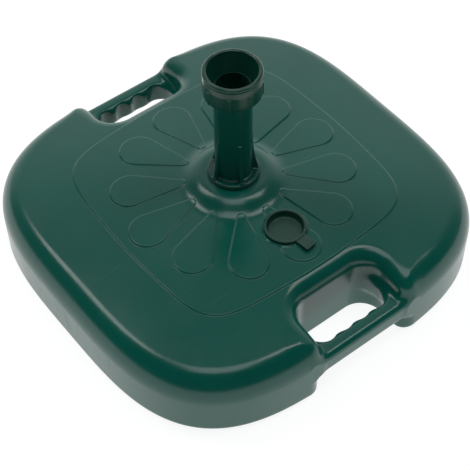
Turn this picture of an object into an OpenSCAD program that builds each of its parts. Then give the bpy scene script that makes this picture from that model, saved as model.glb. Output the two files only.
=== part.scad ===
// Fillable parasol base: a hollow moulded tank with two carry handles, a push-in pole tube with a
// screw clamp at its top, and a filler plug. Millimetres, +Z up. The origin is the middle of the
// underside, on the pole's axis. The handles lie on the X axis.

/* [Tank] */
// Width of the tank across its handles (X)
tank_x = 498; // [460:2:540]
// Depth of the tank (Y)
tank_y = 506; // [460:2:540]
// Squareness of the outline: 2 is an ellipse, more is squarer
tank_square = 3.44; // [3:0.02:4.2]
// Height of the crown, where the domed top would meet the pole's axis
crown_h = 110; // [104:1:116]
// How far the domed top falls from the crown to the outer edge
crown_drop = 20; // [14:1:24]
// Width of the rounding between the top and the side
edge_w = 28; // [20:1:34]
// Height of the rounding between the top and the side
edge_h = 34; // [24:1:38]
// Radius of the rounding under the side
foot_r = 9; // [6:0.5:12]
// Thickness of the moulded wall
wall = 3.5; // [3:0.25:4.5]
// Diameter at the foot of the raised boss round the pole tube
boss_d = 104; // [98:1:110]
// Height of the boss's flat top above the underside
boss_top = 120; // [118:0.5:123]

/* [Handles] */
// Distance from the pole's axis to the inner wall of a hand hole, halfway up
hole_in = 178; // [174:1:184]
// Length of a hand hole along the bar
hole_len = 122; // [112:1:132]
// Radius of a hand hole's inner corners in plan
hole_corner = 26; // [20:1:30]
// How far a hand hole's rim flares outward at the top
rim_flare = 12; // [8:1:14]
// Thickness of a handle bar across its grip (X)
bar_w = 22; // [20:1:24]
// Height of a handle bar
bar_h = 28; // [24:1:30]
// Height of a handle bar's underside above the floor
bar_low = 35; // [30:1:40]
// Number of finger recesses in a bar
fingers = 4; // [3:1:5]
// Distance between finger recesses
finger_pitch = 25; // [22:0.5:26]
// Depth of a finger recess
finger_depth = 4; // [2:0.5:5]

/* [Pole tube] */
// Outer diameter of the tube above the boss
tube_d = 45; // [44:0.5:46]
// Bore of the tube, which takes the pole
pole_bore = 39; // [38:0.5:39.5]
// Outer diameter of the spigot that stands in the tank's well
spigot_d = 48; // [47:0.5:50]
// Outer diameter of the flange that rests on the boss
flange_d = 64; // [60:1:68]
// Thickness of the flange
flange_t = 7; // [5:0.5:8]
// Number of stiffening ribs at the foot of the tube
tube_ribs = 5; // [4:1:8]
// Height of the ribs above the flange
rib_h = 58; // [40:1:60]

/* [Clamp] */
// Outer diameter of the screw collar
collar_d = 69; // [67:0.5:72]
// Height of the screw collar
collar_h = 35; // [33:0.5:38]
// Diameter of the collar's open mouth
mouth_d = 57.5; // [55:0.5:59]
// Height of the collar's rim above the floor
collar_top = 291; // [285:1:297]
// Number of grip ribs round the collar
grips = 8; // [6:1:16]
// Number of fingers that the collet is split into
collet_fingers = 6; // [4:1:8]

/* [Filler] */
// Distance from the pole's axis to the middle of the filler hole
filler_x = 98; // [94:1:102]
// Diameter of the filler hole
filler_d = 46; // [42:0.5:46.5]
// Diameter of the plug's head
plug_d = 51; // [50:0.5:54]
// Length of the plug's pull tab beyond its head
tab_len = 17; // [12:1:20]
// Direction of the pull tab, from +X towards +Y
tab_angle = 8; // [0:1:12]

/* [Hidden] */
$fn = 96;

eps = 0.01;
tank_steps = 96;            // points round the tank's outline
tank_top_steps = 8;         // rings up the edge rounding
edge_lean = 82;             // angle that the edge rounding turns through, up to the domed top
tank_green = [0.07, 0.30, 0.26];
dark_green = [0.05, 0.17, 0.14];
olive = [0.13, 0.20, 0.17];
rubber_black = [0.06, 0.06, 0.06];

well_gap = 0.3;             // clearance round the spigot in the tank's well
well_r = spigot_d / 2 + well_gap;
well_floor = 8;             // underside of the well above the floor
gasket_t = 1.5;
flange_z = boss_top + gasket_t;
cap_t = 4;                  // thickness of the tube's end cap
cap_plug = 6;               // how far the cap's plug reaches into the tube's counterbore
cap_plug_d = pole_bore + 3;
spigot_z = well_floor + cap_t + 0.5;
boss_flat = flange_d + 12;  // diameter of the boss's flat top

collar_z = collar_top - collar_h;
tube_top = collar_top - 27;
seat_h = 18;                // depth of the conical seat in the tube's mouth
seat_r = 21.6;              // radius of the seat at the tube's top
thread_gap = 0.06;          // clearance between the collar's screwed sleeve and the tube
sleeve_r = tube_d / 2 + thread_gap;
collet_gap = 0.3;           // clearance between the collet and its seat
collet_lip = 2;             // thickness of the collet's lip, which the collar presses on
collet_rise = 1;            // how far the lip stands clear of the tube when finger-tight
collet_bore = pole_bore + 0.4;

seat_z = crown_h - 2.4;     // flat seat under the plug's head
seat_d = plug_d + 2;
neck_d = filler_d + 7;
neck_h = 20;
plug_t = 4.5;               // thickness of the plug's head
plug_gap = 0.3;
seal_r = 1.6;               // radius of the plug's sealing ring in section

bar_x = tank_x / 2 - 1.6;   // outer face of a handle bar
bar_top = bar_low + bar_h;
notch_end = hole_len / 2;

// Radius of a squared ellipse in one direction
function squircle(a, rx, ry, n) =
    1 / pow(pow(abs(cos(a)) / rx, n) + pow(abs(sin(a)) / ry, n), 1 / n);

// One level ring of the tank's outline, drawn in by inset
function tank_ring(inset, z) = [
    for (i = [0 : tank_steps - 1])
        let (a = 360 * i / tank_steps,
             r = squircle(a, tank_x / 2, tank_y / 2, tank_square) - inset)
            [r * cos(a), r * sin(a), z]];

// One ring of the domed top, at a share s of the way out to the edge
function dome_ring(s, lower) = [
    for (p = tank_ring(0, 0)) [p[0] * s, p[1] * s, crown_h - crown_drop * s * s - lower]];

// The tank's outer form or, drawn in by d, its inside: rings from the underside to the crown
dome_s = 1 - edge_w / (tank_x / 2);
function edge_z() = crown_h - crown_drop * dome_s * dome_s;
function tank_rings(d) = concat(
    [for (t = [0 : 30 : 90]) tank_ring(d + (foot_r - d) * (1 - sin(t)), d + (foot_r - d) * (1 - cos(t)))],
    [for (i = [0 : tank_top_steps - 1])
        let (t = edge_lean * i / tank_top_steps)
            tank_ring(d + (edge_w - d) * (1 - cos(t)), edge_z() - d - edge_h * (1 - sin(t)))],
    [for (s = [dome_s, dome_s * 0.83, dome_s * 0.6, dome_s * 0.4, dome_s * 0.2]) dome_ring(s, d)]);

// A closed solid through a stack of rings that all have the same number of points
module loft(rings) {
    n = len(rings[0]);
    last = len(rings) - 1;
    points = [for (ring = rings) each ring];
    polyhedron(points, concat(
        [[for (i = [0 : n - 1]) i]],
        [for (k = [0 : last - 1], i = [0 : n - 1])
            [k * n + i, (k + 1) * n + i, (k + 1) * n + (i + 1) % n]],
        [for (k = [0 : last - 1], i = [0 : n - 1])
            [k * n + i, (k + 1) * n + (i + 1) % n, k * n + (i + 1) % n]],
        [[for (i = [n - 1 : -1 : 0]) last * n + i]]));
}

// Rounded rectangle from x0 to x1 and to y either way, grown by d, as a ring at height z
corner_steps = 5;
function window_ring(x0, x1, y, corner, d, z) = [
    for (c = [[x1 - corner, y - corner, 0], [x0 + corner, y - corner, 90],
              [x0 + corner, corner - y, 180], [x1 - corner, corner - y, 270]],
         k = [0 : corner_steps])
        let (a = c[2] + 90 * k / corner_steps)
            [c[0] + (corner + d) * cos(a), c[1] + (corner + d) * sin(a), z]];

// The space taken out of the tank's +X side for a hand: a wall with a flared rim above and
// below, open to the outside. Grown by d, it also clears the tank's inside from the wall.
module hand_window(d) {
    out = tank_x;
    below = foot_r * 0.48;
    loft(concat(
        [window_ring(hole_in, out, notch_end, hole_corner, d + below + 2, -1 - d)],
        [for (t = [0 : 30 : 90])
            window_ring(hole_in, out, notch_end, hole_corner,
                        d + 2 + below * (1 - sin(t)), below * (1 - cos(t)))],
        [window_ring(hole_in, out, notch_end, hole_corner, d + 2, bar_low),
         window_ring(hole_in, out, notch_end, hole_corner, d, bar_low + 2)],
        [for (t = [0 : 15 : 75])
            window_ring(hole_in, out, notch_end, hole_corner, d + rim_flare * (1 - cos(t)),
                        edge_z() - 19 + 22 * sin(t))],
        [window_ring(hole_in, out, notch_end, hole_corner, d + rim_flare, crown_h + 15)]));
}

module both_sides() {
    children();
    mirror([1, 0, 0]) children();
}

// A handle bar with round edges, and thick ends that run into the tank
bar_round = 9;
bar_reach = notch_end + 15;
finger_r = finger_pitch * 0.54;
module bar() {
    fit = bar_reach - notch_end;
    difference() {
        hull()
            for (y = [-bar_reach, bar_reach], x = [bar_x - bar_w + bar_round, bar_x - bar_round],
                 z = [bar_low + bar_round, bar_top - bar_round])
                translate([x, y, z]) rotate([90, 0, 0])
                    cylinder(r = bar_round, h = fit, center = true, $fn = 36);
        for (i = [0 : fingers - 1])
            translate([bar_x - bar_w - finger_r + finger_depth,
                       finger_pitch * (i - (fingers - 1) / 2), 0])
                cylinder(r = finger_r, h = crown_h, $fn = 36);
    }
}

// The tank's outside, without its bores
module tank_outside() {
    difference() {
        union() {
            loft(tank_rings(0));
            rotate_extrude($fn = 72) boss_profile();
            translate([filler_x, 0, seat_z - 8]) cylinder(d = seat_d, h = 8, $fn = 60);
        }
        both_sides() hand_window(0);
        translate([filler_x, 0, seat_z]) cylinder(d = seat_d, h = 20, $fn = 60);
    }
    both_sides() bar();
}

// Section of the boss: a soft shoulder that falls to the domed top
boss_steps = 6;
module boss_profile() {
    outer = boss_d / 2;
    inner = boss_flat / 2;
    low = crown_h - 6;
    polygon(concat([[0, low - 10], [outer, low - 10], [outer, low]],
        [for (k = [0 : boss_steps])
            let (t = 90 * k / boss_steps)
                [inner + (outer - inner) * cos(t) , low + (boss_top - low) * sin(t)]],
        [[0, boss_top]]));
}

// The tank's inside: the outer form drawn in by the wall, clear of everything solid
module tank_inside() {
    difference() {
        loft(tank_rings(wall));
        both_sides() hand_window(wall);
        translate([0, 0, -1]) cylinder(r = well_r + wall, h = crown_h + 20, $fn = 64);
        translate([filler_x, 0, seat_z - neck_h]) cylinder(d = neck_d, h = neck_h + 10, $fn = 64);
    }
}

// Blow-moulded tank with its handles, pole well and filler neck
module tank() {
    color(tank_green)
        difference() {
            resize([0, 0, 0]) difference() {
                tank_outside();
                tank_inside();
                translate([filler_x, 0, seat_z - neck_h - 1])
                    cylinder(d = filler_d, h = neck_h + 20, $fn = 64);
            }
            translate([0, 0, well_floor]) cylinder(r = well_r, h = boss_top);
        }
}

// Pole tube: a spigot in the well, a flange on the boss, and a bored tube with a conical mouth
module pole_tube() {
    color(tank_green)
        difference() {
            union() {
                translate([0, 0, spigot_z]) cylinder(d = spigot_d, h = flange_z - spigot_z + 1);
                translate([0, 0, flange_z]) cylinder(d = flange_d, h = flange_t - 2);
                translate([0, 0, flange_z + flange_t - 2])
                    cylinder(d1 = flange_d, d2 = flange_d - 5, h = 2);
                translate([0, 0, flange_z]) cylinder(d = tube_d, h = tube_top - flange_z);
                translate([0, 0, collar_z - 7]) cylinder(d = tube_d + 3, h = 4);
                tube_foot_ribs();
            }
            translate([0, 0, spigot_z - 1]) cylinder(d = pole_bore, h = tube_top);
            translate([0, 0, spigot_z - 1]) cylinder(d = cap_plug_d, h = cap_plug + 1);
            translate([0, 0, tube_top - seat_h])
                cylinder(r1 = pole_bore / 2, r2 = seat_r, h = seat_h);
            translate([0, 0, tube_top - eps]) cylinder(r = seat_r, h = 1);
        }
}

// Ribs that stiffen the tube where it meets the flange, and flare towards it
rib_t = 5;
module tube_foot_ribs() {
    foot = flange_z + flange_t;
    reach = (flange_d - 3) / 2;
    for (i = [0 : tube_ribs - 1])
        rotate([0, 0, 360 * i / tube_ribs - 90])
            translate([0, rib_t / 2, 0]) rotate([90, 0, 0])
                linear_extrude(rib_t)
                    polygon(concat(
                        [[tube_d / 2 - 1, foot + rib_h], [tube_d / 2 - 1, foot - 1]],
                        [for (s = [0 : 0.25 : 1])
                            [tube_d / 2 + 0.6 + (reach - tube_d / 2 - 0.6) * (1 - s) * (1 - s),
                             foot - 1 + (rib_h + 1) * s]]));
}

// Flat rubber ring between the tube's flange and the boss
module foot_gasket() {
    color(rubber_black)
        translate([0, 0, boss_top])
            difference() {
                cylinder(d = flange_d - 1, h = gasket_t);
                translate([0, 0, -1]) cylinder(r = well_r, h = gasket_t + 2);
            }
}

// Cap that closes the tube's lower end, which the pole stands on
module tube_end_cap() {
    color(dark_green)
        translate([0, 0, spigot_z - cap_t]) {
            cylinder(d = spigot_d - 1, h = cap_t);
            cylinder(d = cap_plug_d - 0.1, h = cap_t + cap_plug);
        }
}

// Screw collar: a ribbed skirt round a funnel mouth, and a screwed sleeve that fits the tube
grip_w = 2.6;
grip_out = 0.7;             // how far a grip rib stands out
module clamp_collar() {
    rim_r = collar_d / 2;
    mouth_r = mouth_d / 2;
    lip_z = tube_top + collet_rise + collet_lip;
    skirt_in = rim_r - 4;
    color(dark_green) {
        rotate_extrude()
            polygon(concat(
                [[sleeve_r, collar_z], [sleeve_r + 3, collar_z], [sleeve_r + 3, collar_z + 16],
                 [skirt_in, collar_z + 12], [skirt_in, collar_z], [rim_r - 0.8, collar_z],
                 [rim_r, collar_z + 0.8], [rim_r, collar_z + 24], [rim_r - 1.2, collar_z + 27]],
                [for (t = [0 : 20 : 180])
                    [(rim_r - 1.2 + mouth_r) / 2 + (rim_r - 1.2 - mouth_r) / 2 * cos(t),
                     collar_top - 3 + 3 * sin(t)]],
                [[collet_bore / 2 + 0.6, lip_z], [sleeve_r, lip_z]]));
        for (i = [0 : grips - 1])
            rotate([0, 0, 360 * i / grips])
                translate([rim_r - 1, -grip_w / 2, collar_z + 1]) cube([1 + grip_out, grip_w, 19]);
    }
}

// Collet: a tapered ring split into fingers, which the collar presses into the tube's mouth
slit = 2;
module split_collet() {
    low = tube_top - seat_h + 2;
    slope = (seat_r - pole_bore / 2) / seat_h;
    top_r = seat_r - collet_gap;
    low_r = top_r - slope * (tube_top - low);
    lip_r = tube_d / 2 - 0.4;
    color(dark_green)
        translate([0, 0, collet_rise]) difference() {
            union() {
                translate([0, 0, low]) cylinder(r1 = low_r, r2 = top_r, h = tube_top - low + eps);
                translate([0, 0, tube_top]) cylinder(r = lip_r, h = collet_lip);
            }
            translate([0, 0, low - 1]) cylinder(d = collet_bore, h = seat_h + 10);
            for (i = [0 : collet_fingers - 1])
                rotate([0, 0, 360 * i / collet_fingers])
                    translate([0, -slit / 2, low - 1]) cube([tube_d, slit, tube_top - low]);
        }
}

// Filler plug: a cup with a rim and a pull tab, whose stem closes the neck
stem_h = 15;
dish_h = 9;                 // depth of the cup below its rim
cup_floor = 2;              // thickness of the cup's floor
module filler_plug() {
    stem_r = filler_d / 2 - plug_gap;
    floor_z = seat_z + plug_t - dish_h;
    color(olive)
        translate([filler_x, 0, 0])
            difference() {
                union() {
                    translate([0, 0, seat_z]) cylinder(d = plug_d, h = plug_t - 1);
                    translate([0, 0, seat_z + plug_t - 1])
                        cylinder(d1 = plug_d, d2 = plug_d - 2, h = 1);
                    translate([0, 0, seat_z - stem_h]) cylinder(r = stem_r, h = stem_h + 1);
                    rotate([0, 0, tab_angle]) translate([plug_d / 2 - 2, -8, seat_z + 0.8])
                        cube([tab_len + 2, 16, 2.2]);
                }
                translate([0, 0, floor_z])
                    cylinder(r1 = stem_r - 2.4, r2 = stem_r - 0.6, h = dish_h + 1);
                translate([0, 0, seat_z - stem_h - 1])
                    cylinder(r = stem_r - 3, h = floor_z - cup_floor - (seat_z - stem_h - 1));
                rotate_extrude() translate([stem_r, floor_z - cup_floor / 2]) circle(r = seal_r, $fn = 32);
            }
}

// Rubber sealing ring in the plug's groove
module plug_seal() {
    stem_r = filler_d / 2 - plug_gap;
    color(rubber_black)
        translate([filler_x, 0, seat_z + plug_t - dish_h - cup_floor / 2])
            rotate_extrude()
                difference() {
                    translate([stem_r - 0.1, 0]) circle(r = seal_r - 0.1, $fn = 32);
                    translate([filler_d / 2 - 0.07, -5]) square([5, 10]);
                }
}

tank();
pole_tube();
foot_gasket();
tube_end_cap();
clamp_collar();
split_collet();
filler_plug();
plug_seal();
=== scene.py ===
"""Fillable parasol base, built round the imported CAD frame.

The tank, the pole tube, the screw collar and the filler plug are each drawn as a field: a
function of position in millimetres that is negative inside the plastic. surface_net() turns a
field into a mesh, refine() adds points where the form turns quickly, and settle() moves every
point onto the surface. The small hidden parts keep their CAD meshes and get better materials.
"""

import math

import bpy
import numpy as np
from mathutils import Matrix, Vector


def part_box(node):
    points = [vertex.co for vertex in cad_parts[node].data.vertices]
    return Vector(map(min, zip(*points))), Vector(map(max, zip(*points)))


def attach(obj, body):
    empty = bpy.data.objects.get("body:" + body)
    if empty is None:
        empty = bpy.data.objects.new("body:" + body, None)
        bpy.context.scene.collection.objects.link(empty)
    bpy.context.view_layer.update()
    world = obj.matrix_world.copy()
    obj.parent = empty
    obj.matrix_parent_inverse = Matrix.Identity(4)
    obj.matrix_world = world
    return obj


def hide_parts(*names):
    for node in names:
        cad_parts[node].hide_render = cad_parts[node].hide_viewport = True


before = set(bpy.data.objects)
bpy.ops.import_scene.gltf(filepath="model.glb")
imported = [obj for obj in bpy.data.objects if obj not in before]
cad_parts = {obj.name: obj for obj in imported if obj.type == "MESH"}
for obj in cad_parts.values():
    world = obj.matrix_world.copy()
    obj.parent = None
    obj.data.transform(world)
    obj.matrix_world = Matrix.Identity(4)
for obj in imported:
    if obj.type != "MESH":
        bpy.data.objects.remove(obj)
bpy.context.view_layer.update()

MM = 0.001

# ---------------------------------------------------------------- sizes, in millimetres


def extent(node):
    """Lowest and highest corner of a CAD node, in millimetres."""
    lo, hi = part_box(node)
    return np.array(lo) / MM, np.array(hi) / MM


tank_lo, tank_hi = extent("tank")
collar_lo, collar_hi = extent("clamp_collar")
tube_lo, tube_hi = extent("pole_tube")

NOWHERE = 1e-9               # keeps a division by a length from failing
AXIS = 1e-6                  # the least radius, for the same reason
GRID_PAD = 3.0               # space left around a piece in its grid

HALF_X, HALF_Y = tank_hi[0], tank_hi[1]
SQUARE = 3.44                # exponent of the tank's outline
CROWN, DROP = 110.0, 20.0    # height of the dome at the pole, and its fall to the edge
EDGE_W, EDGE_H = 28.0, 34.0  # rounding between the top and the side
FOOT_R = 9.0                 # rounding under the side
FOOT_R_HAND = 4.5            # rounding under a hand hole's wall

GAP_IN = 178.0               # inner wall of a hand hole
GAP_HALF = 61.0              # half its length
GAP_CORNER = 27.0
RIM_W, RIM_H = 19.0, 20.0    # rounding of a hand hole's rim
RIM_BLEND = 50.0             # stretch over which the tank's edge turns into that rim
NOTCH_R = 18.0               # rounding of the notch's upright edges
LEDGE_Z, LEDGE_OUT = 35.0, 2.2       # height and depth of the ledge in a hand hole's wall

BAR_OUT = HALF_X - 1.6       # outer face of a handle bar
BAR_W, BAR_LOW, BAR_TOP, BAR_ROUND = 22.0, 32.0, 63.0, 8.5
BAR_REACH = 76.0             # half its length, with the ends that lie inside the tank
BAR_END_R = 4.0
BAR_ROOT = 2.0               # how far the bar's web reaches into the hand hole's inner wall
BAR_FILLET = 11.0
OPEN_HALF, OPEN_CORNER = 55.0, 17.0  # the opening between bar and wall, and its outer corners
FINGERS, FINGER_R, FINGER_PITCH, FINGER_IN = 4, 13.6, 25.0, 4.2
FINGER_EDGE = 1.6

BOSS_TOP, BOSS_R = 120.0, 52.0
BOSS_ROUND_H, BOSS_ROUND_W = 16.0, 14.0
BOSS_LOW, BOSS_FILLET = 50.0, 20.0
WELL_R, WELL_FLOOR, WELL_EDGE = 24.3, 8.0, 0.8

PLATEAU_X, PLATEAU_Y, PLATEAU_SQUARE = 161.6, 163.0, 6.0
PLATEAU_PULL = 0.03          # how far the raised panel's corners are drawn in
PLATEAU_UP, PETAL_UP, AROUND_DOWN = 0.1, 1.5, -1.0
STEP_W = 2.6                 # width of a relief step
PETALS = 12
PETAL_IN, PETAL_OUT = 65.0, 127.0    # centres of a petal's two rounded ends
PETAL_R_IN, PETAL_R_OUT = 5.5, 24.0
PETAL_FADE_IN, PETAL_FADE_W = 3.0, 6.0   # where the petals fade out beside the boss
BAND_HALF, BAND_LOW, BAND_IN = 2.2, 80.0, 50.0   # the part of the top that gets extra points

FILLER_X = 98.0
FILLER_R = 23.0
SEAT_Z, SEAT_R = CROWN - 2.4, 26.5
SEAT_RING_W, SEAT_RING_LOW, SEAT_RING_FILLET = 1.2, 90.0, 1.5
SEAT_FLOOR_R, SEAT_EDGE = 0.6, 0.9
NECK_H, NECK_W, NECK_LOW = 20.0, 3.0, 60.0
CAVITY_R, CAVITY_LOW, CAVITY_ROOF, CAVITY_EDGE = 40.0, 6.0, 12.0, 2.0    # hollow under the filler


# ---------------------------------------------------------------- working with fields


def ease(t):
    """0 below 0, 1 above 1, smooth between."""
    t = np.clip(t, 0.0, 1.0)
    return t * t * (3.0 - 2.0 * t)


def join(a, b, soft):
    """Both forms, with a hollow fillet of about that size where they meet."""
    h = np.clip(0.5 + 0.5 * (b - a) / soft, 0.0, 1.0)
    return b + (a - b) * h - soft * h * (1.0 - h)


def cut(a, b, soft):
    """The first form without the second, with the edge softened."""
    return -join(-a, b, soft)


def meet(a, b, ra, rb):
    """What two forms share, its edge rounded by ra across a and rb across b."""
    u, v = a / ra, b / rb
    corner = np.hypot(np.maximum(u + 1.0, 0.0), np.maximum(v + 1.0, 0.0))
    return (np.minimum(np.maximum(u, v), -1.0) + corner) * np.minimum(ra, rb)


def slab(p, lo, hi):
    """Distance from the stretch lo to hi."""
    return np.maximum(lo - p, p - hi)


def round_box(p, q, half_p, half_q, r):
    """A rounded rectangle centred on 0, in two coordinates."""
    a, b = np.abs(p) - (half_p - r), np.abs(q) - (half_q - r)
    outside = np.hypot(np.maximum(a, 0.0), np.maximum(b, 0.0))
    return outside + np.minimum(np.maximum(a, b), 0.0) - r


def section(points, p, q):
    """Distance from a closed outline in two coordinates, negative inside."""
    near = np.full(np.broadcast(p, q).shape, np.inf)
    sign = np.ones_like(near)
    n = len(points)
    for i in range(n):
        (ax, ay), (bx, by) = points[i], points[(i + 1) % n]
        ex, ey = bx - ax, by - ay
        wx, wy = p - ax, q - ay
        t = np.clip((wx * ex + wy * ey) / (ex * ex + ey * ey), 0.0, 1.0)
        near = np.minimum(near, np.hypot(wx - ex * t, wy - ey * t))
        above = q >= ay
        below = q < by
        left = ex * wy > ey * wx
        flip = (above & below & left) | (~above & ~below & ~left)
        sign = np.where(flip, -sign, sign)
    return near * sign


def fold(x, y, count, phase=0.0):
    """Position within the nearest of count equal sectors: along it and across it."""
    rho = np.hypot(x, y)
    sector = 2.0 * math.pi / count
    turn = np.arctan2(y, x) - phase + sector / 2.0
    turn = turn - sector * np.floor(turn / sector) - sector / 2.0
    return rho * np.cos(turn), rho * np.sin(turn)


def surface_net(field, lo, hi, step):
    """Triangles near a field's surface, one point to a grid cell that the surface crosses."""
    axes = [lo[k] + step * np.arange(int(math.ceil((hi[k] - lo[k]) / step)) + 1) for k in range(3)]
    value = field(*np.ix_(*axes)).astype(np.float32)
    inside = value < 0
    nx, ny, nz = value.shape
    corners = [(i, j, k) for i in (0, 1) for j in (0, 1) for k in (0, 1)]
    count = np.zeros((nx - 1, ny - 1, nz - 1), np.int8)
    for i, j, k in corners:
        count += inside[i:nx - 1 + i, j:ny - 1 + j, k:nz - 1 + k]
    cell = (count > 0) & (count < 8)
    at = np.argwhere(cell)
    index = np.full(cell.shape, -1, np.int64)
    index[cell] = np.arange(len(at))
    v = np.stack([value[at[:, 0] + i, at[:, 1] + j, at[:, 2] + k] for i, j, k in corners], 1)
    total, hits = np.zeros((len(at), 3)), np.zeros(len(at))
    for a in range(8):
        for b in range(a + 1, 8):
            ca, cb = np.array(corners[a], float), np.array(corners[b], float)
            if np.abs(ca - cb).sum() != 1:
                continue
            cross = (v[:, a] < 0) != (v[:, b] < 0)
            t = v[cross, a] / (v[cross, a] - v[cross, b])
            total[cross] += ca + t[:, None] * (cb - ca)
            hits[cross] += 1
    points = np.array(lo) + step * (at + total / hits[:, None])
    quads = []
    for a in range(3):
        order = (a, (a + 1) % 3, (a + 2) % 3)
        s, c = inside.transpose(order), index.transpose(order)
        first, last = s[:-1, 1:-1, 1:-1], s[1:, 1:-1, 1:-1]
        i, j, k = np.nonzero(first != last)
        q = np.stack([c[i, j, k], c[i, j + 1, k], c[i, j + 1, k + 1], c[i, j, k + 1]], 1)
        back = ~first[i, j, k]
        q[back] = q[back][:, ::-1]
        quads.append(q)
    q = np.concatenate(quads)
    d0 = np.linalg.norm(points[q[:, 0]] - points[q[:, 2]], axis=1)
    d1 = np.linalg.norm(points[q[:, 1]] - points[q[:, 3]], axis=1)
    a, b = q[d0 <= d1], q[d0 > d1]
    tris = np.concatenate([a[:, [0, 1, 2]], a[:, [0, 2, 3]], b[:, [0, 1, 3]], b[:, [1, 2, 3]]])
    return points, tris


def slope(field, p, h=0.02):
    """The field's gradient at each point."""
    g = np.empty_like(p)
    for k in range(3):
        d = np.zeros(3)
        d[k] = h
        g[:, k] = (field(*(p + d).T) - field(*(p - d).T)) / (2 * h)
    return g


LEAST_SLOPE = 1e-4           # keeps a step finite where a field is nearly flat


def settle(field, p, reach, turns=3):
    """Moves points onto the surface, each step no longer than reach."""
    for _ in range(turns):
        g = slope(field, p)
        move = g * (field(*p.T) / np.maximum((g * g).sum(1), LEAST_SLOPE))[:, None]
        length = np.linalg.norm(move, axis=1)
        p = p - move * np.minimum(1.0, reach / np.maximum(length, NOWHERE))[:, None]
    return p


def normals_of(field, p):
    """Unit normals of the surface at each point."""
    g = slope(field, p)
    return g / np.maximum(np.linalg.norm(g, axis=1), NOWHERE)[:, None]


def split(points, tris, wanted):
    """Splits in half every edge that wanted() picks, and the triangles on it."""
    edge = np.stack([tris[:, [0, 1]], tris[:, [1, 2]], tris[:, [2, 0]]], 1).reshape(-1, 2)
    edge.sort(axis=1)
    edge, back = np.unique(edge, axis=0, return_inverse=True)
    pick = wanted(edge)
    middle = np.full(len(edge), -1, np.int64)
    middle[pick] = len(points) + np.arange(pick.sum())
    points = np.concatenate([points, points[edge[pick]].mean(axis=1)])
    m = middle[back.reshape(-1, 3)]
    code = (m[:, 0] >= 0) + 2 * (m[:, 1] >= 0) + 4 * (m[:, 2] >= 0)
    column = [tris[:, 0], tris[:, 1], tris[:, 2], m[:, 0], m[:, 1], m[:, 2]]
    patterns = {
        0: [(0, 1, 2)],
        1: [(0, 3, 2), (3, 1, 2)],
        2: [(0, 1, 4), (0, 4, 2)],
        4: [(0, 1, 5), (5, 1, 2)],
        3: [(3, 1, 4), (0, 3, 4), (0, 4, 2)],
        6: [(4, 2, 5), (0, 1, 4), (0, 4, 5)],
        5: [(0, 3, 5), (3, 1, 2), (3, 2, 5)],
        7: [(0, 3, 5), (3, 1, 4), (5, 4, 2), (3, 4, 5)],
    }
    out = []
    for value, rows in patterns.items():
        here = code == value
        for row in rows:
            out.append(np.stack([column[c][here] for c in row], 1))
    return points, np.concatenate(out)


def refine(field, points, tris, least, turn, band=None):
    """Adds points where the surface turns by more than turn, or within band, down to least."""
    normal = normals_of(field, points)
    near = band(points) if band else None

    def wanted(edge):
        length = np.linalg.norm(points[edge[:, 0]] - points[edge[:, 1]], axis=1)
        bend = (normal[edge[:, 0]] * normal[edge[:, 1]]).sum(1) < math.cos(turn)
        if near is not None:
            bend |= near[edge[:, 0]] | near[edge[:, 1]]
        return bend & (length > least)

    return split(points, tris, wanted)


def new_mesh(name, points, tris, normal):
    """A smooth-shaded Blender mesh from points in millimetres, with the given normals."""
    mesh = bpy.data.meshes.new(name)
    mesh.vertices.add(len(points))
    mesh.vertices.foreach_set("co", (points * MM).astype(np.float32).ravel())
    mesh.loops.add(len(tris) * 3)
    mesh.loops.foreach_set("vertex_index", tris.astype(np.int32).ravel())
    mesh.polygons.add(len(tris))
    mesh.polygons.foreach_set("loop_start", np.arange(0, len(tris) * 3, 3, dtype=np.int32))
    mesh.polygons.foreach_set("use_smooth", np.ones(len(tris), bool))
    mesh.update(calc_edges=True)
    mesh.validate()
    mesh.normals_split_custom_set_from_vertices(normal.astype(np.float32))
    return mesh


SETTLE_SHARE = 0.7           # a settling step's limit, as a share of the grid's or edge's length


def piece(name, field, lo, hi, step, least, turn, body, material, node, passes=1, band=None):
    """A finished piece from a field, riding on a CAD body in place of a CAD node.

    step is the grid's spacing. In each pass, edges longer than least are split where the
    surface turns by more than turn, or where band() picks their ends.
    """
    points, tris = surface_net(field, np.array(lo, float), np.array(hi, float), step)
    points = settle(field, points, step * SETTLE_SHARE)
    for _ in range(passes):
        points, tris = refine(field, points, tris, least, turn, band)
        points = settle(field, points, least * SETTLE_SHARE, 2)
    obj = bpy.data.objects.new(name, new_mesh(name, points, tris, normals_of(field, points)))
    bpy.context.scene.collection.objects.link(obj)
    obj.data.materials.append(material)
    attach(obj, body)
    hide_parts(node)
    return obj


# ---------------------------------------------------------------- materials


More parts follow.
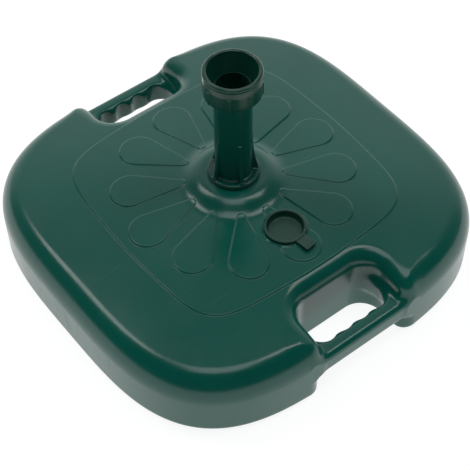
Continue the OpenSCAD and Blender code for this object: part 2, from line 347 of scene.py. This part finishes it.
class Nodes:
    """Short calls that build one material's node tree. An input is a number or another output."""

    def __init__(self, name):
        self.material = bpy.data.materials.new(name)
        self.material.use_nodes = True
        self.tree = self.material.node_tree
        self.shader = self.tree.nodes["Principled BSDF"]
        self.place = self.tree.nodes.new("ShaderNodeTexCoord").outputs["Object"]

    def link(self, a, b):
        self.tree.links.new(a, b)

    def add(self, kind, **inputs):
        n = self.tree.nodes.new(kind)
        for key, value in inputs.items():
            socket = n.inputs[key.replace("_", " ")]
            if hasattr(value, "links"):
                self.link(value, socket)
            else:
                socket.default_value = value
        return n

    def noise(self, scale, detail=2.0, rough=0.5, stretch=None, turn=0.0):
        vector = self.place
        if stretch:
            m = self.add("ShaderNodeMapping", Vector=vector)
            m.inputs["Scale"].default_value = stretch
            m.inputs["Rotation"].default_value = (0.0, 0.0, turn)
            vector = m.outputs["Vector"]
        n = self.add("ShaderNodeTexNoise", Vector=vector, Scale=scale, Detail=detail, Roughness=rough)
        return n.outputs["Fac"]

    def math(self, how, a, b):
        n = self.tree.nodes.new("ShaderNodeMath")
        n.operation = how
        for i, value in enumerate((a, b)):
            if hasattr(value, "links"):
                self.link(value, n.inputs[i])
            else:
                n.inputs[i].default_value = value
        return n.outputs[0]

    def spread(self, value, lo, hi, out_lo, out_hi):
        n = self.add("ShaderNodeMapRange", Value=value)
        for key, number in zip(("From Min", "From Max", "To Min", "To Max"), (lo, hi, out_lo, out_hi)):
            n.inputs[key].default_value = number
        return n.outputs["Result"]

    def mix(self, factor, a, b):
        n = self.tree.nodes.new("ShaderNodeMix")
        n.data_type = "RGBA"
        for socket, value in zip((n.inputs[0], n.inputs[6], n.inputs[7]), (factor, a, b)):
            if hasattr(value, "links"):
                self.link(value, socket)
            else:
                socket.default_value = value
        return n.outputs[2]

    def bump(self, height, distance, strength, under=None):
        n = self.add("ShaderNodeBump", Height=height, Distance=distance, Strength=strength)
        if under:
            self.link(under, n.inputs["Normal"])
        return n.outputs["Normal"]


def shade(colour, factor):
    """A colour made darker or lighter, with full alpha."""
    return tuple(c * factor for c in colour) + (1.0,)


# Noise scales, in waves to the metre
DRIFT, SPECK, CHAFE, PATCH = 9.0, 700.0, 60.0, 26.0
PEEL, SKIN, SCUFFED = 95.0, 1300.0, 14.0
# Fine scratches: a direction in radians and how many cross a metre
SCRATCHES = ((0.35, 260.0), (1.45, 330.0), (-0.7, 410.0))
SCRATCH_ALONG, SCRATCH_UPRIGHT = 0.022, 0.05     # their stretch along and up, against across
PLASTIC_IOR = 1.49


def scratch_marks(n):
    """Fine scratches in three directions, gathered in patches: 0 nowhere, 1 in a scratch."""
    lines = []
    for turn, across in SCRATCHES:
        stretch = (across, across * SCRATCH_ALONG, across * SCRATCH_UPRIGHT)
        lines.append(n.spread(n.noise(1.0, 1.0, 0.4, stretch, turn), 0.70, 0.76, 0.0, 1.0))
    marks = n.math("MAXIMUM", n.math("MAXIMUM", lines[0], lines[1]), lines[2])
    return n.math("MULTIPLY", marks, n.spread(n.noise(SCUFFED), 0.48, 0.62, 0.0, 1.0))


def chafed_edges(n):
    """Patchy wear on outward edges: 0 on flat faces, 1 where an edge is rubbed."""
    point = n.tree.nodes.new("ShaderNodeNewGeometry").outputs["Pointiness"]
    edge = n.spread(point, 0.53, 0.62, 0.0, 1.0)
    return n.math("MULTIPLY", edge, n.spread(n.noise(CHAFE, 4.0, 0.65), 0.4, 0.65, 0.0, 1.0))


def plastic(name, colour, gloss, grain, worn, scuffs):
    """Moulded plastic: slow colour drift, fine grain, fine scratches and worn edges.

    gloss is the mean roughness, grain the depth of the moulded texture in metres, worn how far
    edges pale, and scuffs how strongly fine scratches show.
    """
    n = Nodes(name)
    speck = n.noise(SPECK, 2.0, 0.6)
    chafed = chafed_edges(n)
    marks = n.math("MULTIPLY", scratch_marks(n), scuffs)

    pale = tuple(c * 1.25 + 0.004 for c in colour) + (1.0,)
    drift = n.spread(n.noise(DRIFT, 3.0, 0.55), 0.3, 0.7, 0.0, 1.0)
    tone = n.mix(drift, shade(colour, 0.93), shade(colour, 1.07))
    tone = n.mix(n.spread(speck, 0.35, 0.65, 0.0, 0.12), tone, shade(colour, 1.35))
    tone = n.mix(n.math("MULTIPLY", chafed, worn), tone, pale)
    tone = n.mix(n.math("MULTIPLY", marks, 0.25), tone, pale)
    n.link(tone, n.shader.inputs["Base Color"])

    patch = n.spread(n.noise(PATCH, 4.0, 0.6), 0.3, 0.7, gloss - 0.035, gloss + 0.035)
    fine = n.spread(speck, 0.3, 0.7, -0.02, 0.02)
    rough = n.math("ADD", n.math("ADD", patch, fine), n.math("MULTIPLY", marks, 0.14))
    rough = n.math("ADD", rough, n.math("MULTIPLY", chafed, 0.06 * worn))
    n.link(rough, n.shader.inputs["Roughness"])

    peel = n.bump(n.noise(PEEL), grain * 2.4, 0.35)
    skin = n.bump(n.noise(SKIN, 3.0, 0.6), grain, 0.35, peel)
    lines = n.bump(n.math("SUBTRACT", 1.0, marks), grain * 1.5, 0.4, skin)
    n.link(lines, n.shader.inputs["Normal"])
    n.shader.inputs["IOR"].default_value = PLASTIC_IOR
    return n.material


DUST, PITS, PIT_DEPTH = 120.0, 1600.0, 0.0001


def rubber(name, colour):
    """Matte black rubber with a dusty, slightly pitted skin."""
    n = Nodes(name)
    dust = n.spread(n.noise(DUST, 5.0, 0.65), 0.35, 0.7, 0.0, 1.0)
    n.link(n.mix(dust, shade(colour, 0.8), shade(colour, 1.7)), n.shader.inputs["Base Color"])
    n.link(n.spread(dust, 0.0, 1.0, 0.55, 0.78), n.shader.inputs["Roughness"])
    n.link(n.bump(n.noise(PITS, 3.0, 0.6), PIT_DEPTH, 0.5), n.shader.inputs["Normal"])
    return n.material


# Linear colours
TANK_GREEN = (0.0014, 0.104, 0.0775)
# The tube's green is the tank's green made darker: painted shade on the upright tube
TUBE_GREEN_SHADED = (0.0012, 0.066, 0.0490)
COLLAR_GREEN = (0.0028, 0.052, 0.0345)
OLIVE = (0.0070, 0.058, 0.0400)
green = plastic("tank_plastic", TANK_GREEN, 0.215, 0.00005, 0.5, 1.0)
# The tube's material uses that darker green, so the tube carries painted shade
tube_green_shaded = plastic("tube_plastic_painted_shade", TUBE_GREEN_SHADED, 0.20, 0.00004, 0.45, 0.25)
dark = plastic("collar_plastic", COLLAR_GREEN, 0.22, 0.00005, 0.7, 0.7)
olive = plastic("plug_plastic", OLIVE, 0.46, 0.00009, 0.5, 0.6)
black = rubber("seal_rubber_black", (0.012, 0.012, 0.012))

# ---------------------------------------------------------------- tank


def outline(x, y, rho):
    """Distance from the pole's axis to the tank's outline, in the direction of a point."""
    c, s = np.abs(x) / rho, np.abs(y) / rho
    return ((c / HALF_X) ** SQUARE + (s / HALF_Y) ** SQUARE) ** (-1.0 / SQUARE)


def petal_edge(x, y):
    """Distance from the nearest petal's outline: a teardrop with a round end at each centre."""
    u, v = fold(x, y, PETALS)
    u, v, h = u - PETAL_IN, np.abs(v), PETAL_OUT - PETAL_IN
    lean = (PETAL_R_IN - PETAL_R_OUT) / h
    across = math.sqrt(1.0 - lean * lean)
    k = across * u - lean * v
    inner = np.hypot(u, v) - PETAL_R_IN
    outer = np.hypot(u - h, v) - PETAL_R_OUT
    side = across * v + lean * u - PETAL_R_IN
    return np.where(k < 0, inner, np.where(k > across * h, outer, side))


def plateau_edge(x, y, rho):
    """Distance from the raised panel's outline, in the direction of a point."""
    c, s = np.abs(x) / rho, np.abs(y) / rho
    reach = ((c / PLATEAU_X) ** PLATEAU_SQUARE + (s / PLATEAU_Y) ** PLATEAU_SQUARE)
    reach = reach ** (-1.0 / PLATEAU_SQUARE) * (1.0 - PLATEAU_PULL * (2.0 * s * c) ** 2)
    return rho - reach


def relief(x, y, rho):
    """Height of the moulded pattern above the plain dome."""
    plateau = ease(0.5 - plateau_edge(x, y, rho) / STEP_W)
    petal = ease(0.5 - petal_edge(x, y) / STEP_W)
    petal = petal * ease((rho - BOSS_R - PETAL_FADE_IN) / PETAL_FADE_W)
    return AROUND_DOWN + (PLATEAU_UP - AROUND_DOWN) * plateau + (PETAL_UP - PLATEAU_UP) * petal


def hand_gap(ax, y):
    """Distance from the outline of a hand hole in plan, negative in the hole."""
    a = GAP_IN + GAP_CORNER - ax
    b = np.abs(y) - (GAP_HALF - GAP_CORNER)
    return np.hypot(np.maximum(a, 0.0), np.maximum(b, 0.0)) + np.minimum(np.maximum(a, b), 0.0) - GAP_CORNER


def bar_field(ax, y, z):
    """The bar across a hand hole, with the web that rounds off the opening's outer corners."""
    a, b = ax - (BAR_OUT - BAR_W - OPEN_CORNER), np.abs(y) - (OPEN_HALF - OPEN_CORNER)
    opening = np.hypot(np.maximum(a, 0.0), np.maximum(b, 0.0)) + np.minimum(np.maximum(a, b), 0.0)
    plan = meet(OPEN_CORNER - opening, ax - BAR_OUT, BAR_ROUND, BAR_ROUND)
    plan = np.maximum(plan, GAP_IN - BAR_ROOT - ax)
    bar = meet(plan, slab(z, BAR_LOW, BAR_TOP), BAR_ROUND, BAR_ROUND)
    bar = meet(bar, np.abs(y) - BAR_REACH, BAR_END_R, BAR_END_R)
    finger_x = BAR_OUT - BAR_W + FINGER_IN - FINGER_R
    for i in range(FINGERS):
        finger = np.hypot(ax - finger_x, y - FINGER_PITCH * (i - (FINGERS - 1) / 2.0))
        bar = cut(bar, finger - FINGER_R, FINGER_EDGE)
    return bar


def filler_cuts(body, z, filler):
    """The filler's seat, neck and the hollow under it; filler is the distance from its axis."""
    ring = np.maximum(filler - SEAT_R - SEAT_RING_W, SEAT_RING_LOW - z)
    body = join(body, meet(z - SEAT_Z, ring, SEAT_RING_W, SEAT_RING_W), SEAT_RING_FILLET)
    body = cut(body, meet(SEAT_Z - z, filler - SEAT_R, SEAT_FLOOR_R, SEAT_FLOOR_R), SEAT_EDGE)
    body = cut(body, np.maximum(filler - FILLER_R, NECK_LOW - z), WELL_EDGE)
    hollow = np.maximum(slab(z, CAVITY_LOW, SEAT_Z - CAVITY_ROOF), filler - CAVITY_R)
    neck = np.maximum(filler - FILLER_R - NECK_W, SEAT_Z - NECK_H - z)
    return cut(body, np.maximum(hollow, -neck), CAVITY_EDGE)


def tank_field(x, y, z):
    """The whole tank: dome, sides, hand holes, boss, handle bars, filler and pole well."""
    rho = np.maximum(np.hypot(x, y), AXIS)
    ax = np.abs(x)
    reach = outline(x, y, rho)
    side = rho - reach
    crown = CROWN - DROP * (rho / reach) ** 2 + relief(x, y, rho)
    gap = hand_gap(ax, y) - LEDGE_OUT * (1.0 - ease((z - LEDGE_Z) / LEDGE_OUT))
    skin = meet(side, -gap, NOTCH_R, NOTCH_R)
    rim = ease(0.5 + (-gap - side) / RIM_BLEND)
    body = meet(z - crown, skin, EDGE_H + (RIM_H - EDGE_H) * rim, EDGE_W + (RIM_W - EDGE_W) * rim)
    foot = FOOT_R + (FOOT_R_HAND - FOOT_R) * rim
    body = meet(body, -z, foot, foot)
    boss = meet(z - BOSS_TOP, np.maximum(rho - BOSS_R, BOSS_LOW - z), BOSS_ROUND_H, BOSS_ROUND_W)
    body = join(body, boss, BOSS_FILLET)
    body = np.maximum(join(body, bar_field(ax, y, z), BAR_FILLET), side)
    body = filler_cuts(body, z, np.hypot(x - FILLER_X, y))
    return cut(body, np.maximum(rho - WELL_R, WELL_FLOOR - z), WELL_EDGE)


def relief_band(p):
    """The points of the top that lie along a relief step."""
    x, y, z = p.T
    rho = np.maximum(np.hypot(x, y), AXIS)
    close = np.minimum(np.abs(petal_edge(x, y)), np.abs(plateau_edge(x, y, rho)))
    return (close < BAND_HALF) & (z > BAND_LOW) & (rho > BAND_IN)


TANK_CORNER = np.array((HALF_X, HALF_Y, BOSS_TOP))
piece("tank_shell", tank_field, tank_lo - GRID_PAD, TANK_CORNER + GRID_PAD, 2.6,
      0.85, math.radians(13), "tank", green, "tank", 2, relief_band)

# ---------------------------------------------------------------- pole tube

TUBE_R, BORE_R = 22.5, 19.5
TUBE_TOP = tube_hi[2]
TUBE_EDGE, BORE_EDGE = 0.6, 0.5
SPIGOT_R, SPIGOT_Z = 24.0, tube_lo[2]
FLANGE_R, FLANGE_Z, FLANGE_T, FLANGE_ROUND, FLANGE_FILLET = 32.0, 121.5, 7.0, 2.4, 2.2
LIP_IN, LIP_EDGE, LIP_FILLET = 0.1, 0.8, 0.5     # the flange's straight lower edge
COLLAR_Z, RIM_Z = collar_lo[2], collar_hi[2]
RING_OUT, RING_ROUND, RING_FILLET = 1.5, 1.2, 0.8    # the ring under the collar
RING_LOW, RING_TOP = COLLAR_Z - 7.0, COLLAR_Z - 3.0
RIBS, RIB_HALF, RIB_TOP = 5, 2.3, 187.0
RIB_START, RIB_REACH, RIB_CURVE = 0.3, 7.2, 2.2  # a rib's depth at its top, its flare and its bow
RIB_ROOT, RIB_ROUND, RIB_END, RIB_FILLET = 18.0, 1.1, 1.0, 1.6
CAP_SEAT_W, CAP_SEAT_H, CAP_SEAT_EDGE = 1.5, 6.0, 0.3
CONE_OUT, CONE_H = 2.1, 18.0                     # the conical mouth that the collet sits in


def rib_field(x, y, z):
    """The ribs that brace the tube on its flange, flaring towards their feet."""
    u, v = fold(x, y, RIBS, -math.pi / 2.0)
    flare = np.clip((RIB_TOP - z) / (RIB_TOP - FLANGE_Z - FLANGE_T), 0.0, 1.0) ** RIB_CURVE
    rib = np.maximum(u - (TUBE_R + RIB_START + RIB_REACH * flare), RIB_ROOT - u)
    rib = meet(rib, np.abs(v) - RIB_HALF, RIB_ROUND, RIB_ROUND)
    return meet(rib, slab(z, FLANGE_Z + RIB_END, RIB_TOP), RIB_END, RIB_END)


def tube_field(x, y, z):
    """The pole tube with its spigot, flange, ribs, ring, bore and conical mouth."""
    rho = np.hypot(x, y)
    tube = meet(slab(z, FLANGE_Z - 4.0, TUBE_TOP), rho - TUBE_R, TUBE_EDGE, TUBE_EDGE)
    spigot = meet(slab(z, SPIGOT_Z, FLANGE_Z + 2.0), rho - SPIGOT_R, TUBE_EDGE, TUBE_EDGE)
    flange = slab(z, FLANGE_Z, FLANGE_Z + FLANGE_T)
    flange = meet(flange, rho - FLANGE_R, FLANGE_ROUND, FLANGE_ROUND)
    lip = slab(z, FLANGE_Z, FLANGE_Z + FLANGE_ROUND)
    lip = meet(lip, rho - FLANGE_R + LIP_IN, LIP_EDGE, LIP_EDGE)
    ring = meet(slab(z, RING_LOW, RING_TOP), rho - TUBE_R - RING_OUT, RING_ROUND, RING_ROUND)
    body = join(join(tube, rib_field(x, y, z), RIB_FILLET), flange, FLANGE_FILLET)
    body = join(join(body, ring, RING_FILLET), join(spigot, lip, LIP_FILLET), TUBE_EDGE)
    body = cut(body, rho - BORE_R, BORE_EDGE)
    cap_seat = np.maximum(rho - BORE_R - CAP_SEAT_W, z - (SPIGOT_Z + CAP_SEAT_H))
    body = cut(body, cap_seat, CAP_SEAT_EDGE)
    cone = rho - (BORE_R + CONE_OUT * (z - (TUBE_TOP - CONE_H)) / CONE_H)
    return cut(body, np.maximum(cone, TUBE_TOP - CONE_H - z), CAP_SEAT_EDGE)


TUBE_BOX = FLANGE_R + GRID_PAD
piece("pole_tube_moulded", tube_field, (-TUBE_BOX, -TUBE_BOX, SPIGOT_Z - 2.0),
      (TUBE_BOX, TUBE_BOX, TUBE_TOP + 2.0), 1.2, 0.6, math.radians(16),
      "tube", tube_green_shaded, "pole_tube")

# ---------------------------------------------------------------- screw collar

SKIRT_R, SKIRT_WALL = 34.5, 4.0
MOUTH_R, THROAT_R = 28.75, 20.4
SLEEVE_R, SLEEVE_WALL = 22.62, 2.8
LIP_Z = TUBE_TOP + 3.0
RIM_OUT, RIM_RISE = 0.2, 3.0
GRIPS, GRIP_HALF, GRIP_OUT, GRIP_ROUND, GRIP_FILLET = 8, 1.3, 0.7, 0.7, 0.9
GRIP_LOW, GRIP_TOP, GRIP_END = COLLAR_Z + 1.2, COLLAR_Z + 20.0, 0.8
COLLAR_BOX = 38.0


def collar_outline():
    """Half section of the collar: sleeve, skirt, rolled rim and funnel."""
    rim_mid, rim_half = (SKIRT_R + RIM_OUT + MOUTH_R) / 2.0, (SKIRT_R + RIM_OUT - MOUTH_R) / 2.0
    turns = [math.radians(a) for a in range(0, 181, 15)]
    rolled = [(rim_mid + rim_half * math.cos(t), RIM_Z - RIM_RISE + RIM_RISE * math.sin(t))
              for t in turns]
    sleeve = [(SLEEVE_R, COLLAR_Z), (SLEEVE_R + SLEEVE_WALL, COLLAR_Z),
              (SLEEVE_R + SLEEVE_WALL, COLLAR_Z + 15.0)]
    skirt = [(SKIRT_R - SKIRT_WALL, COLLAR_Z + 12.0), (SKIRT_R - 3.6, COLLAR_Z),
             (SKIRT_R - 1.6, COLLAR_Z), (SKIRT_R - 0.3, COLLAR_Z + 2.0), (SKIRT_R, COLLAR_Z + 6.0),
             (SKIRT_R, COLLAR_Z + 22.0), (SKIRT_R - 0.5, COLLAR_Z + 29.0)]
    return sleeve + skirt + rolled + [(THROAT_R, LIP_Z), (SLEEVE_R, LIP_Z)]


COLLAR_OUTLINE = collar_outline()


def collar_field(x, y, z):
    """The collar's turned section, with upright grip ribs round its skirt."""
    body = section(COLLAR_OUTLINE, np.hypot(x, y), z)
    u, v = fold(x, y, GRIPS)
    depth = np.maximum(u - SKIRT_R - GRIP_OUT, SKIRT_R - 2.0 - u)
    grip = meet(np.abs(v) - GRIP_HALF, depth, GRIP_ROUND, GRIP_ROUND)
    grip = meet(grip, slab(z, GRIP_LOW, GRIP_TOP), GRIP_END, GRIP_END)
    return join(body, grip, GRIP_FILLET)


piece("screw_collar", collar_field, (-COLLAR_BOX, -COLLAR_BOX, COLLAR_Z - 2.0),
      (COLLAR_BOX, COLLAR_BOX, RIM_Z + 2.0), 0.95, 0.5, math.radians(16),
      "collar", dark, "clamp_collar")

# ---------------------------------------------------------------- filler plug

HEAD_R, HEAD_ROUND = 25.5, 1.1
HEAD_TOP = SEAT_Z + 4.5
STEM_R, STEM_H, STEM_WALL = FILLER_R - 0.3, 15.0, 3.0
DISH, DISH_FLAT, DISH_FLARE, DISH_ROUND, DISH_EDGE = 9.0, 2.4, 2.0, 2.4, 0.7
CUP_FLOOR = 2.0
GROOVE_R = 1.6
SOFT_EDGE = 0.8              # the plug's smaller roundings
TAB_TURN = math.radians(8.0)
TAB_ROOT, TAB_END = HEAD_R - 3.0, HEAD_R + 17.0
TAB_HALF, TAB_CORNER = 8.0, 1.8
TAB_LOW, TAB_TOP = SEAT_Z + 0.8, SEAT_Z + 3.4
RIDGE_IN, RIDGE_R, RIDGE_Z = 4.5, 1.0, SEAT_Z + 3.0  # the ridge that a finger pulls on


def tab_field(px, py, z):
    """The pull tab with its ridge; px and py are measured from the filler's axis."""
    u = px * math.cos(TAB_TURN) + py * math.sin(TAB_TURN)
    v = -px * math.sin(TAB_TURN) + py * math.cos(TAB_TURN)
    middle, half = (TAB_ROOT + TAB_END) / 2.0, (TAB_END - TAB_ROOT) / 2.0
    tab = round_box(u - middle, v, half, TAB_HALF, TAB_CORNER)
    tab = meet(tab, slab(z, TAB_LOW, TAB_TOP), SOFT_EDGE, SOFT_EDGE)
    ridge = np.hypot(u - TAB_END + RIDGE_IN, z - RIDGE_Z) - RIDGE_R
    return join(tab, np.maximum(ridge, np.abs(v) - TAB_HALF + 2.0), 0.6)


def plug_field(x, y, z):
    """The filler plug: a dished head on a hollow stem, with a tab and a groove for the seal."""
    px, py = x - FILLER_X, y
    rho = np.hypot(px, py)
    head = meet(slab(z, SEAT_Z, HEAD_TOP), rho - HEAD_R, HEAD_ROUND, HEAD_ROUND)
    stem = meet(slab(z, SEAT_Z - STEM_H, SEAT_Z + 1.0), rho - STEM_R, SOFT_EDGE, SOFT_EDGE)
    body = join(join(head, stem, 0.4), tab_field(px, py, z), SOFT_EDGE)
    floor = HEAD_TOP - DISH
    dish = rho - (STEM_R - DISH_FLAT + DISH_FLARE * (z - floor) / DISH)
    body = cut(body, meet(dish, floor - z, DISH_ROUND, DISH_ROUND), DISH_EDGE)
    under = np.maximum(rho - STEM_R + STEM_WALL, z - (floor - CUP_FLOOR))
    body = cut(body, under, 0.6)
    return cut(body, np.hypot(rho - STEM_R, z - (floor - CUP_FLOOR / 2.0)) - GROOVE_R, 0.3)


PLUG_BOX = HEAD_R + 3.5
piece("filler_plug_moulded", plug_field, (FILLER_X - PLUG_BOX, -PLUG_BOX, SEAT_Z - STEM_H - 2.0),
      (FILLER_X + TAB_END + GRID_PAD, PLUG_BOX, HEAD_TOP + 2.0), 0.8, 0.45,
      math.radians(16), "plug", olive, "filler_plug")

# ---------------------------------------------------------------- CAD nodes that stay

for node, material in (("foot_gasket", black), ("plug_seal", black),
                       ("tube_end_cap", dark), ("split_collet", dark)):
    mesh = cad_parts[node].data
    mesh.materials.clear()
    mesh.materials.append(material)

# ---------------------------------------------------------------- floor, light and camera


FLOOR_HALF, FLOOR_Z = 12.0, -0.0004
FLOOR_GREY, FLOOR_ROUGH, FLOOR_GLOW = 0.24, 0.9, 0.90


def stage_floor():
    """A pale light table: its own light keeps it nearly free of shadow."""
    h, z = FLOOR_HALF, FLOOR_Z
    mesh = bpy.data.meshes.new("floor")
    mesh.from_pydata([(-h, -h, z), (h, -h, z), (h, h, z), (-h, h, z)], [], [(0, 1, 2, 3)])
    obj = bpy.data.objects.new("floor", mesh)
    bpy.context.scene.collection.objects.link(obj)
    n = Nodes("floor_pale")
    n.shader.inputs["Base Color"].default_value = (FLOOR_GREY, FLOOR_GREY, FLOOR_GREY, 1.0)
    n.shader.inputs["Roughness"].default_value = FLOOR_ROUGH
    n.shader.inputs["Emission Color"].default_value = (1.0, 1.0, 1.0, 1.0)
    n.shader.inputs["Emission Strength"].default_value = FLOOR_GLOW
    mesh.materials.append(n.material)


stage_floor()

AZIMUTH, ELEVATION, ROLL = math.radians(52.56), math.radians(51.44), math.radians(-0.724)
DISTANCE = 1.5797
LENS, SENSOR = 100.2, 36.0
# The point aimed at: its height on the pole's axis, then steps to the right and up the picture
AIM_HEIGHT, AIM_RIGHT, AIM_UP = 0.115, 0.0005, -0.0731

back = Vector((math.sin(AZIMUTH) * math.cos(ELEVATION), -math.cos(AZIMUTH) * math.cos(ELEVATION),
               math.sin(ELEVATION)))
level = Vector((math.cos(AZIMUTH), math.sin(AZIMUTH), 0.0))
rise = back.cross(level)
right = level * math.cos(ROLL) + rise * math.sin(ROLL)
up = rise * math.cos(ROLL) - level * math.sin(ROLL)
away = Vector((-math.sin(AZIMUTH), math.cos(AZIMUTH), 0.0))
aim = Vector((0.0, 0.0, AIM_HEIGHT)) + level * AIM_RIGHT + rise * AIM_UP

camera_data = bpy.data.cameras.new("camera")
camera_data.sensor_width = SENSOR
camera_data.lens = LENS
camera_data.clip_end = 5.0 * FLOOR_HALF
camera = bpy.data.objects.new("camera", camera_data)
bpy.context.scene.collection.objects.link(camera)
turn = Matrix((right, up, back)).transposed()
camera.matrix_world = Matrix.Translation(aim + back * DISTANCE) @ turn.to_4x4()
bpy.context.scene.camera = camera


LIT_CENTRE = Vector((0.0, 0.0, 0.1))


def softbox(name, toward, distance, size, radiance, tint):
    """A square-cornered area light in the given direction, aimed at the middle of the object."""
    light = bpy.data.lights.new(name, "AREA")
    light.shape = "RECTANGLE"
    light.size, light.size_y = size
    light.energy = radiance * math.pi * size[0] * size[1]
    light.color = tint
    obj = bpy.data.objects.new(name, light)
    toward = toward.normalized()
    obj.location = LIT_CENTRE + toward * distance
    obj.rotation_euler = toward.to_track_quat("Z", "Y").to_euler()
    bpy.context.scene.collection.objects.link(obj)


UP = Vector((0.0, 0.0, 1.0))
COOL, WARM = (0.93, 0.98, 1.0), (1.0, 0.99, 0.97)
softbox("softbox_top", UP - away * 0.13, 3.0, (1.5, 1.5), 2.4, COOL)
softbox("softbox_left", UP * 0.83 - level * 0.52 + away * 0.2, 2.8, (0.75, 1.3), 4.4, WARM)
softbox("softbox_right", UP * 0.90 + level * 0.43 + away * 0.06, 2.8, (0.75, 1.2), 3.8, WARM)


# Brightness of the surroundings, from the camera's side (0) round to beyond the object (1)
WALL = ((0.0, 0.03), (0.44, 0.015), (0.55, 0.09), (0.70, 0.16), (0.81, 0.60), (0.94, 1.0))
BACKDROP = 0.9               # what the camera itself sees beyond the floor


def studio():
    """Surroundings: a pale wall beyond the object, darkness on the camera's side."""
    world = bpy.data.worlds.new("studio")
    bpy.context.scene.world = world
    world.use_nodes = True
    tree = world.node_tree
    background = tree.nodes["Background"]
    place = tree.nodes.new("ShaderNodeTexCoord")
    along = tree.nodes.new("ShaderNodeVectorMath")
    along.operation = "DOT_PRODUCT"
    along.inputs[1].default_value = away
    tree.links.new(place.outputs["Generated"], along.inputs[0])
    ramp = tree.nodes.new("ShaderNodeMapRange")
    ramp.inputs["From Min"].default_value = -1.0
    ramp.inputs["From Max"].default_value = 1.0
    tree.links.new(along.outputs["Value"], ramp.inputs["Value"])
    steps = tree.nodes.new("ShaderNodeValToRGB")
    tree.links.new(ramp.outputs["Result"], steps.inputs["Fac"])
    band = steps.color_ramp
    while len(band.elements) < len(WALL):
        band.elements.new(0.5)
    for element, (position, value) in zip(band.elements, WALL):
        element.position = position
        element.color = (value, value, value, 1.0)
    seen = tree.nodes.new("ShaderNodeLightPath")
    white = tree.nodes.new("ShaderNodeMix")
    white.data_type = "RGBA"
    tree.links.new(seen.outputs["Is Camera Ray"], white.inputs[0])
    tree.links.new(steps.outputs["Color"], white.inputs[6])
    white.inputs[7].default_value = (BACKDROP, BACKDROP, BACKDROP, 1.0)
    tree.links.new(white.outputs[2], background.inputs["Color"])
    background.inputs["Strength"].default_value = 1.0


studio()
bpy.context.scene.view_settings.view_transform = "Standard"
bpy.context.scene.view_settings.look = "None"
